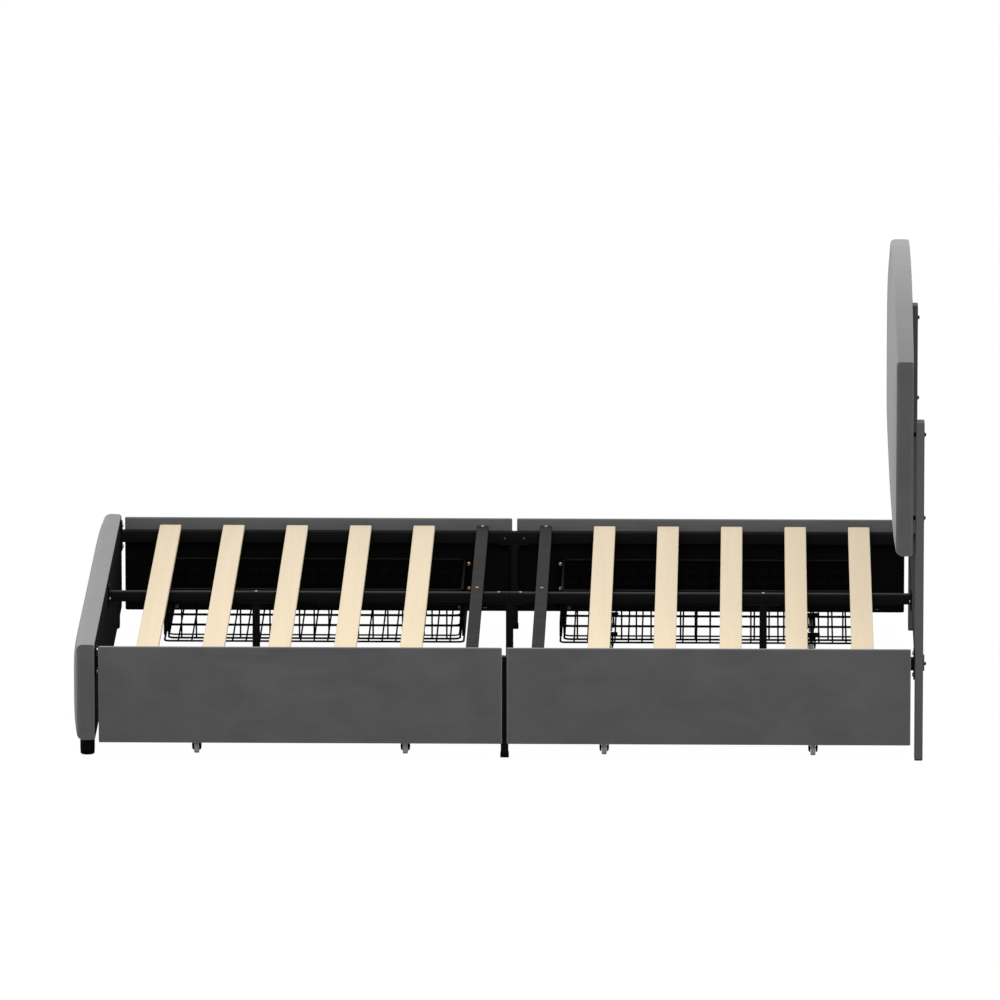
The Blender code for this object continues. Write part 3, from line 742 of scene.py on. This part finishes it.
def bolts(spots, along, sizes=BOLT, cross=False):
    """Bolt or screw heads on the spots, facing along +X, −X, +Y, −Y, +Z or −Z."""
    head = driven_head(*sizes, cross)
    facing = {
        "+X": along_x(head),
        "-X": flipped(along_x(head), (0, 1)),
        "+Y": along_y(head),
        "-Y": flipped(along_y(head), (0, 1)),
        "+Z": head,
        "-Z": flipped(head, (0, 2)),
    }
    return repeated(facing[along], spots)


def end_plate(x, outward, y, z, width, height):
    """The plate at the end of a rail, with its face against what it is bolted to."""
    plate = along_x(slab((width, height, PLATE_THICK), 0.003, 0.0006))
    return moved(plate, (x - outward * PLATE_THICK / 2, y, z))


def add_rails(metals):
    black = metals["black"]
    for end, outward in ENDS.items():
        rails = [f"centre_rail_{end}"] + [f"side_rail_{side}_{end}" for side in SIDES]
        for name in rails:
            middle, size = span(name)
            centre = name.startswith("centre")
            height = CENTRE_RAIL_TALL if centre else RAIL_TALL
            inset = PLATE_THICK / 2
            shape = along_x(tube((RAIL_WIDTH, height, size[0] - inset), RAIL_CORNER, WALL))
            shapes = [moved(shape, middle - (outward * inset / 2, 0, 0))]
            plate_x = middle[0] + outward * size[0] / 2
            shapes.append(end_plate(plate_x, outward, middle[1], middle[2], size[1], size[2]))
            piece(name + "_tube", shapes, black, BED, [name])
            face = "-X" if outward > 0 else "+X"
            spot_x = plate_x - outward * PLATE_THICK
            reach = size[2] / 2 - 0.0105
            if centre:
                spots = [(spot_x, sign * 0.0125, middle[2] - 0.004) for sign in (-1, 1)]
                heads = bolts(spots, face, PLATE_SCREW, True)
                piece(name + "_end_screws", [heads], metals["brass"], BED)
            else:
                spots = [(spot_x, middle[1], middle[2] + reach), (spot_x, middle[1], middle[2] - reach)]
                piece(name + "_end_bolts", [bolts(spots, face)], metals["zinc"], BED)


def add_legs(metals):
    names = [f"side_leg_{side}" for side in SIDES] + [f"centre_leg_{number}" for number in (1, 2, 3)]
    for name in names:
        middle, size = span(name)
        tall = size[2]
        leg_top = tall - SADDLE_THICK
        leg = moved(tube((*LEG, leg_top - 0.004), 0.002, WALL), (0, 0, leg_top / 2 + 0.002))
        saddle = slab((size[0], size[1], SADDLE_THICK), 0.0025, 0.0006)
        saddle = moved(saddle, (0, 0, tall - SADDLE_THICK / 2))
        rib = moved(slab((0.030, 0.0026, 0.014), 0.0012, 0.0006), (0, 0, leg_top - 0.0065))
        place = (middle[0], middle[1], 0)
        shapes = [moved(shape, place) for shape in (leg, saddle, rib)]
        piece(name + "_tube", shapes, metals["black"], BED, [name])
        cap = moved(slab((0.0204, 0.0210, 0.012), 0.0020, 0.0008), (0, 0, 0.006))
        piece(name + "_glide", [moved(cap, place)], metals["plastic"], BED)


def add_fixings(metals):
    """The sleeves inside the rails where their halves meet over the middle legs, the plate over the centre
    rail's joint, and the screws of the rails."""
    leg_middle, _ = span("centre_leg_2")
    rail_middle, _ = span("side_rail_left_foot")
    centre_middle, _ = span("centre_rail_foot")
    rail_top = rail_middle[2] + RAIL_TALL / 2
    x = leg_middle[0]
    brass = []
    for number in (1, 2, 3):
        spot = span(f"centre_leg_{number}")[0][0]
        offsets = (-0.0265, 0.0265) if number == 2 else (0.0,)
        brass += [(spot + offset, 0.0, rail_top) for offset in offsets]
    piece("centre_rail_screws", [bolts(brass, "+Z", SCREW, True)], metals["brass"], BED)
    side_y = abs(rail_middle[1])
    splices = []
    for sign, face in ((1, "-Y"), (-1, "+Y")):
        inner_y = sign * (side_y - RAIL_WIDTH / 2)
        spots = [(x + offset, inner_y, rail_top - 0.016) for offset in (-0.0235, 0.0235)]
        splices.append(bolts(spots, face, SPLICE_SCREW, True))
    piece("side_rail_screws", splices, metals["grey"], BED)
    plate = moved(slab(JOINER, 0.002, 0.0003), (x, 0.0, rail_top + 0.0002))
    piece("centre_rail_joiner", [plate], metals["slat"], BED)
    inside = 2 * WALL + 0.0004
    sleeve = along_x(slab((RAIL_WIDTH - inside, RAIL_TALL - inside, SLEEVE_LENGTH), 0.0015, 0.0008))
    sleeves = [moved(sleeve, (x, sign * side_y, rail_middle[2])) for sign in (-1, 1)]
    size = (RAIL_WIDTH - inside, CENTRE_RAIL_TALL - inside, SLEEVE_LENGTH)
    sleeves.append(moved(along_x(slab(size, 0.0015, 0.0008)), (x, 0.0, centre_middle[2])))
    piece("rail_sleeves", sleeves, metals["black"], BED)


def add_posts(metals):
    for side in SIDES:
        name = f"headboard_post_{side}"
        middle, size = span(name)
        shape = tube((size[0], size[1], size[2] - 0.006), 0.003, WALL)
        piece(name + "_tube", [moved(shape, middle)], metals["grey"], BED, [name])
        plug = slab((size[0] - 0.0006, size[1] - 0.0006, 0.0060), 0.0028, 0.0012)
        for part, sign, metal, slot in (
            ("glide", -1, "plastic", "black_plastic"),
            ("cap", 1, "grey", "grey_metal"),
        ):
            closer = moved(plug, middle + (0, 0, sign * (size[2] / 2 - 0.0030)))
            piece(f"{name}_{part}", [closer], metals[metal], BED)
        y = math.copysign(POST_BOLT_Y, middle[1])
        rear = middle[0] + size[0] / 2
        spots = [(rear, y, height) for height in POST_BOLT_HEIGHTS]
        heads = bolts(spots + [(rear + PLATE_THICK, y, POST_PLATE_BOLT)], "+X", POST_BOLT)
        piece(name + "_bolts", [heads], metals["plastic"], BED)
        washer = turned([(0.0, 0.0030), (0.0, 0.0070), (0.0010, 0.0070), (0.0010, 0.0030)], ring=True)
        washers = repeated(along_x(washer), [np.array(spot) - (0.0002, 0, 0) for spot in spots])
        plate = along_x(slab((0.024, 0.036, PLATE_THICK), 0.003, 0.0005))
        plate = moved(plate, (rear + PLATE_THICK / 2, y, POST_PLATE_HEIGHT))
        piece(name + "_washers", [washers, plate], metals["grey"], BED)
        reach = HEAD_SETBACK + 0.0012
        spacer = turned([(0, 0.0030), (0, 0.0055), (reach, 0.0055), (reach, 0.0030)], ring=True)
        front_face = middle[0] - size[0] / 2
        places = [(front_face - reach + 0.0006, y, height) for height in POST_BOLT_HEIGHTS]
        spacers = repeated(along_x(spacer), places)
        piece(name + "_spacers", [spacers], metals["plastic"], BED)
    middle, size = span("head_cross_rail")
    shape = moved(along_y(tube((size[2], size[0], size[1]), RAIL_CORNER, WALL)), middle)
    piece("head_cross_rail_tube", [shape], metals["black"], BED, ["head_cross_rail"])


def add_slats(metals):
    wood = birch()
    for number in range(1, 11):
        name = f"wood_slat_{number}"
        middle, size = span(name)
        shape = moved(along_y(slab((size[2], size[0], size[1]), 0.0022, 0.0010)), middle)
        piece(name + "_board", [shape], wood, BED, [name])
    for end in ENDS:
        name = f"metal_slat_{end}"
        middle, size = span(name)
        x, y, z = middle
        length = size[1]
        shape = along_y(tube((size[2], size[0], length - 0.008), 0.0022, 0.0012))
        piece(name + "_tube", [moved(shape, middle)], metals["slat"], BED, [name])
        cap = along_y(slab((size[2] - 0.0004, size[0] - 0.0004, 0.0050), 0.0022, 0.0010))
        ends = [(x, y + sign * (length / 2 - 0.0025), z) for sign in (-1, 1)]
        piece(name + "_end_caps", [repeated(cap, ends)], metals["plastic"], BED)
        top = z + size[2] / 2
        spots = [(x, place, top) for place in SLAT_SCREWS]
        piece(name + "_screws", [bolts(spots, "+Z", SCREW, True)], metals["brass"], BED)


# --- Drawers, in their own coordinates: along X, from the front's outer face inwards along +Y, and up ---

BASKET = (0.7215, 0.358)
BASKET_START = 0.022
BASKET_RINGS = (0.0575, 0.0830, 0.1085, 0.1340, 0.1595)
RIM_HEIGHT = 0.1718
BASKET_FLOOR = 0.0494
BASKET_FLARE = 0.011  # how much longer the rim is than the floor
WALL_WIRE = 0.0021
WALL_PITCH = 0.0362
FLOOR_PITCH = 0.0334
BASE = (0.740, 0.378)
BASE_START = 0.016
BASE_HEIGHT = 0.0447
BASE_WIRE = 0.0025
CROSS_ROWS = (0.092, 0.207)
STRIP_X = 0.3665
CASTER_SPREAD = 0.249
CASTER_ROWS = (0.065, 0.290)
BRACKET_X = 0.3725
BRACKET_SCREWS = (0.159, 0.0965)
DRAWER_SCREW = (0.0046, 0.0026, 0.0028)
FRONT_EXTRA = 0.0038  # how much taller the velvet is than the board's own height
FRONT_DROP = 0.0008
WHEEL_RADIUS = 0.018
WRAP = 0.042  # how far the velvet is turned over the top of a front's back


def spaced(reach, pitch, odd=False):
    """Places at that pitch within ±reach, even about the middle: at 0, ±1, ±2… pitches, or ±½, ±1½…"""
    shift = 0.0 if odd else 0.5
    half = math.floor(reach / pitch - shift) + shift
    return np.arange(-half, half + 0.5) * pitch


def basket_shapes():
    """The wire basket: a rim, rings round the walls, upright wires, and the border of its floor. The end
    walls lean out by half the flare between the floor and the rim."""
    length, depth = BASKET
    middle = BASKET_START + depth / 2
    wire = WALL_WIRE

    def lean(height):
        return BASKET_FLARE / 2 * (height - BASKET_FLOOR) / (RIM_HEIGHT - BASKET_FLOOR)

    def ring(height, radius, inset, sides):
        return loop(length - inset + 2 * lean(height), depth - inset, 0.015, height, radius, sides)

    shapes = [ring(RIM_HEIGHT, 0.0027, 0.005, 8), ring(BASKET_FLOOR, 0.0026, 0.005, 8)]
    shapes += [ring(height, wire, 0.005 + 2 * wire, 6) for height in BASKET_RINGS]
    x, y = length / 2 - 0.0025, depth / 2 - 0.0025
    upright = rod([(0, 0, BASKET_FLOOR), (0, 0, RIM_HEIGHT)], wire, (1, 0, 0))
    places = spaced(x - 0.012, WALL_PITCH, odd=True)
    shapes.append(repeated(upright, [(place, sign * y, 0) for place in places for sign in (-1, 1)]))
    for sign in (-1, 1):
        foot, head = sign * x, sign * (x + BASKET_FLARE / 2)
        leaning = rod([(foot, 0, BASKET_FLOOR), (head, 0, RIM_HEIGHT)], wire, (0, 1, 0))
        shapes.append(repeated(leaning, [(0, place, 0) for place in spaced(y - 0.012, WALL_PITCH)]))
    return [moved(shape, (0, middle, 0)) for shape in shapes]


def floor_shapes():
    """The base under the basket: a border wire, close wires from front to back, and two across."""
    length, depth = BASE
    middle = BASE_START + depth / 2
    border = loop(length - 2 * BASE_WIRE, depth - 2 * BASE_WIRE, 0.012, BASE_HEIGHT, BASE_WIRE)
    shapes = [moved(border, (0, middle, 0))]
    near, far = BASE_START + BASE_WIRE, BASE_START + depth - BASE_WIRE
    close = rod([(0, near, BASE_HEIGHT + 0.0010), (0, far, BASE_HEIGHT + 0.0010)], WALL_WIRE, (1, 0, 0))
    shapes.append(repeated(close, [(x, 0, 0) for x in spaced(length / 2 - 0.012, FLOOR_PITCH, odd=True)]))
    bearer = rod([(0, near, BASE_HEIGHT), (0, far, BASE_HEIGHT)], BASE_WIRE, (1, 0, 0), 8)
    shapes.append(repeated(bearer, [(-CASTER_SPREAD, 0, 0), (CASTER_SPREAD, 0, 0)]))
    reach = length / 2 - BASE_WIRE
    cross = rod([(-reach, 0, BASE_HEIGHT - 0.0011), (reach, 0, BASE_HEIGHT - 0.0011)], WALL_WIRE, (0, 0, 1))
    shapes.append(repeated(cross, [(0, row, 0) for row in CROSS_ROWS]))
    return shapes


def strip_shapes():
    """Side strips that stiffen the base, and the brackets that hold it to the front."""
    shapes = []
    for sign in (-1, 1):
        strip = along_y(slab((0.040, 0.0070, 0.3640), 0.0018, 0.0012))
        shapes.append(moved(strip, (sign * STRIP_X, 0.1952, 0.076)))
        spacer = slab((0.005, 0.010, 0.0110), 0.0012, 0.0005)
        shapes.append(repeated(spacer, [(sign * STRIP_X, row, 0.0515) for row in CASTER_ROWS]))
        upright = along_y(slab((0.1357, 0.0175, 0.0022), 0.0030, 0.0005))
        shapes.append(moved(upright, (sign * BRACKET_X, 0.0136, 0.1141)))
    return shapes


def cheek(sign):
    """One side of a caster's fork: a rounded outline, (half·cos^0.75 a, tall·sin^0.75 a) at angle a and
    widest at half its height, drawn out to a gentle dome: the ring at angle k of the dome is the outline
    shrunk by cos^0.6 k and pushed out by 3.6 mm · sin k."""
    steps = 28
    angle = np.linspace(0, 2 * np.pi, steps, endpoint=False)
    low, high, half = 0.0077, 0.0425, 0.0112
    middle, tall = (low + high) / 2, (high - low) / 2
    y = half * np.sign(np.cos(angle)) * np.abs(np.cos(angle)) ** 0.75
    z = tall * np.sign(np.sin(angle)) * np.abs(np.sin(angle)) ** 0.75
    drop = (1 - z / tall) / 2
    y = y * (0.92 + 0.16 * np.sin(np.pi * drop))
    turn = np.radians(np.array([0, 0, 20, 45, 70, 86]))
    shrink = np.cos(turn) ** 0.6
    out = np.array([0, 0.0012, 0.0012, 0.0012, 0.0012, 0.0012]) + 0.0036 * np.sin(turn)
    rise = WHEEL_RADIUS - middle
    points = np.stack([
        np.broadcast_to((0.0066 + out)[:, None], (len(turn), steps)) * sign,
        shrink[:, None] * y,
        middle + rise * (1 - shrink[:, None]) + shrink[:, None] * z,
    ], axis=-1)
    return grid(points)


def caster_shapes():
    """A fixed caster at the origin in plan: a plate, a crown over the wheel and two cheeks."""
    plate = moved(slab((0.042, 0.042, 0.0024), 0.006, 0.0006), (0, 0, 0.0429))
    crown = moved(slab((0.0205, 0.0235, 0.0034), 0.006, 0.0012), (0, 0, 0.0407))
    return [plate, crown, cheek(-1), cheek(1)]


def wheel_tread():
    """The tyre: a flat-treaded ring with small rounded shoulders, about X."""
    radius, half, shoulder = WHEEL_RADIUS, 0.0059, 0.0014
    inner = radius * 0.62
    profile = [(-half, inner)]
    profile += arc((shoulder - half, radius - shoulder), shoulder, -90, 0, 4)
    profile += arc((half - shoulder, radius - shoulder), shoulder, 0, 90, 4)
    profile += [(half, inner)]
    return along_x(turned(profile, 40, ring=True))


def wheel_hub():
    """The hub: a dished disc with a raised boss, bored for its axle, about X."""
    rim, boss, bore = WHEEL_RADIUS * 0.64, 0.0052, 0.0030
    side = [(0.0052, rim), (0.0052, rim - 0.0012), (0.0036, rim - 0.0024), (0.0036, boss + 0.0008)]
    side += [(0.0058, boss), (0.0058, bore)]
    profile = side + [(-x, r) for x, r in side[::-1]]
    return along_x(turned(profile, 40, ring=True))


def add_drawer(side, end, cloths, metals):
    drawer = f"drawer_{side}_{end}"
    half_turn = SIDES[side]
    middle, size = span(f"{drawer}_front")
    outer = middle[1] - half_turn * size[1] / 2

    def here(shapes):
        """Puts shapes from the drawer's own coordinates into the bed's."""
        placed = []
        for shape in shapes:
            shape = shape if half_turn > 0 else flipped(shape, (0, 1))
            placed.append(moved(shape, (middle[0], outer, 0)))
        return placed

    def add(name, shapes, material, replaced=()):
        return piece(f"{drawer}_{name}", here(shapes), material, drawer, replaced)

    length, thick, tall = size + (0, 0, FRONT_EXTRA)
    z = middle[2] - FRONT_DROP
    front = moved(along_y(slab((tall, length, thick), 0.0030, 0.0030)), (0, thick / 2, z))
    wrap = along_y(slab((WRAP, length - 0.004, 0.0012), 0.0030, 0.0005))
    wrap = moved(wrap, (0, thick, z + (tall - WRAP) / 2 - 0.0015))
    add("velvet", [front], cloths["velvet"], [f"{drawer}_front"])
    # The velvet turned over the top of the back takes a lighter copy of the velvet: painted light on the
    # turned edge.
    add("turned_edge", [wrap], cloths["turned"])
    backing = along_y(slab((tall - WRAP, length - 0.003, 0.0005), 0.0030, 0.0002))
    add("backing", [moved(backing, (0, thick + 0.0001, z - WRAP / 2))], cloths["dust"])
    staple = rod([(-0.0045, 0, 0), (0.0045, 0, 0)], 0.0004, (0, 0, 1), 5)
    heights = (z + tall / 2 - WRAP + 0.006, z - tall / 2 + 0.008)
    spots = [(x, thick + 0.0008, height) for x in spaced(0.45, 0.055) for height in heights]
    add("staples", [repeated(staple, spots)], metals["zinc"])

    rim, *walls = basket_shapes()
    add("rim", [rim], metals["black"])
    # The rim keeps the black coating, and the other wires take its darker copy, which is painted shade.
    add("wires", walls, metals["wire"], [f"{drawer}_basket"])
    add("base_wires", floor_shapes() + strip_shapes(), metals["wire"], [f"{drawer}_base"])
    foot = slab((0.024, 0.0458, 0.0022), 0.0040, 0.0005)
    feet = repeated(foot, [(sign * 0.358, 0.0354, 0.0548) for sign in (-1, 1)])
    add("bracket_feet", [feet], metals["grey"])
    spots = [(sign * BRACKET_X, 0.0147, height) for sign in (-1, 1) for height in BRACKET_SCREWS]
    spots.append((0.0, thick + 0.0006, 0.0615))
    screws = [bolts(spots, "+Y", DRAWER_SCREW, True)]
    spots = [(sign * 0.364, 0.049, 0.0558) for sign in (-1, 1)]
    screws.append(bolts(spots, "+Z", SCREW, True))
    add("screws", screws, metals["brass"])

    forks = []
    axles = []
    number = 0
    for row in CASTER_ROWS:
        for x in (-CASTER_SPREAD, CASTER_SPREAD):
            number += 1
            forks += [moved(shape, (x, row, 0)) for shape in caster_shapes()]
            pin = [(-0.0116, 0), (-0.0116, 0.0020), (-0.0110, 0.0028)]
            pin += [(-0.0100, 0.0028), (-0.0100, 0.0024)]
            pin += [(-along, radius) for along, radius in pin[::-1]]
            axles.append(moved(along_x(turned(pin, 16)), (x, row, WHEEL_RADIUS)))
            spot = (x, row, WHEEL_RADIUS)
            wheel = f"{drawer}_wheel_{number}"
            for part, shape, material, slot in (
                ("tread", wheel_tread(), metals["rubber"], "caster_tread"),
                ("hub", wheel_hub(), metals["hub"], "caster_tread"),
            ):
                replaced = [wheel] if part == "tread" else ()
                piece(f"{wheel}_{part}", here([moved(shape, spot)]), material, wheel, replaced)
    add("caster_forks", forks, metals["plastic"])
    add("axle_pins", axles, metals["zinc"])


# --- The bed ---

add_camera()
add_studio()

pile = pile_group()
coat = coat_group()
surface = moulded_group()
plating = machined_group()
dust = (0.30, 0.29, 0.28)
METALS = {
    "black": coated_steel("black_coated_steel", coat, (0.0056, 0.0056, 0.0058), dust, 0.02, 0.05),
    # The same black coating made darker still for the basket and base wires: painted shade inside the bed.
    "wire": coated_steel("black_coated_wire_painted_shade", coat, (0.0018, 0.0018, 0.0019), dust, 0.0, 0.03),
    "grey": coated_steel("grey_coated_steel", coat, (0.078, 0.078, 0.081), dust, 0.05, 0.20),
    "slat": coated_steel("slat_coated_steel", coat, (0.0085, 0.0085, 0.0085), dust, 0.005, 0.035),
    "plastic": moulded("black_moulding", surface, (0.0010, 0.0010, 0.0011), (0.0040, 0.0040, 0.0042), 0.06),
    "hub": moulded("grey_moulding", surface, (0.30, 0.30, 0.31), (0.36, 0.36, 0.37), 0.4),
    "rubber": moulded("grey_rubber", surface, (0.50, 0.50, 0.505), (0.53, 0.53, 0.535), 0.2),
    "brass": plated("brass_plating", plating, (0.80, 0.44, 0.23), (0.48, 0.25, 0.125)),
    "zinc": plated("zinc_plating", plating, (0.62, 0.62, 0.64), (0.36, 0.36, 0.37)),
}
CLOTHS = {
    "velvet": grey_velvet("grey_velvet", pile, (0.029, 0.029, 0.031), (0.049, 0.049, 0.051)),
    # The same velvet with lighter colours, a painted light on the turned-over edges of the fronts.
    "turned": grey_velvet("grey_velvet_painted_lighter", pile, (0.058, 0.058, 0.060), (0.082, 0.082, 0.084)),
    "dust": dust_cloth(),
    "plastic": METALS["plastic"],
}

add_headboard(CLOTHS)
add_footboard(CLOTHS)
add_rails(METALS)
add_legs(METALS)
add_fixings(METALS)
add_posts(METALS)
add_slats(METALS)
for side in SIDES:
    for end in ENDS:
        add_drawer(side, end, CLOTHS, METALS)
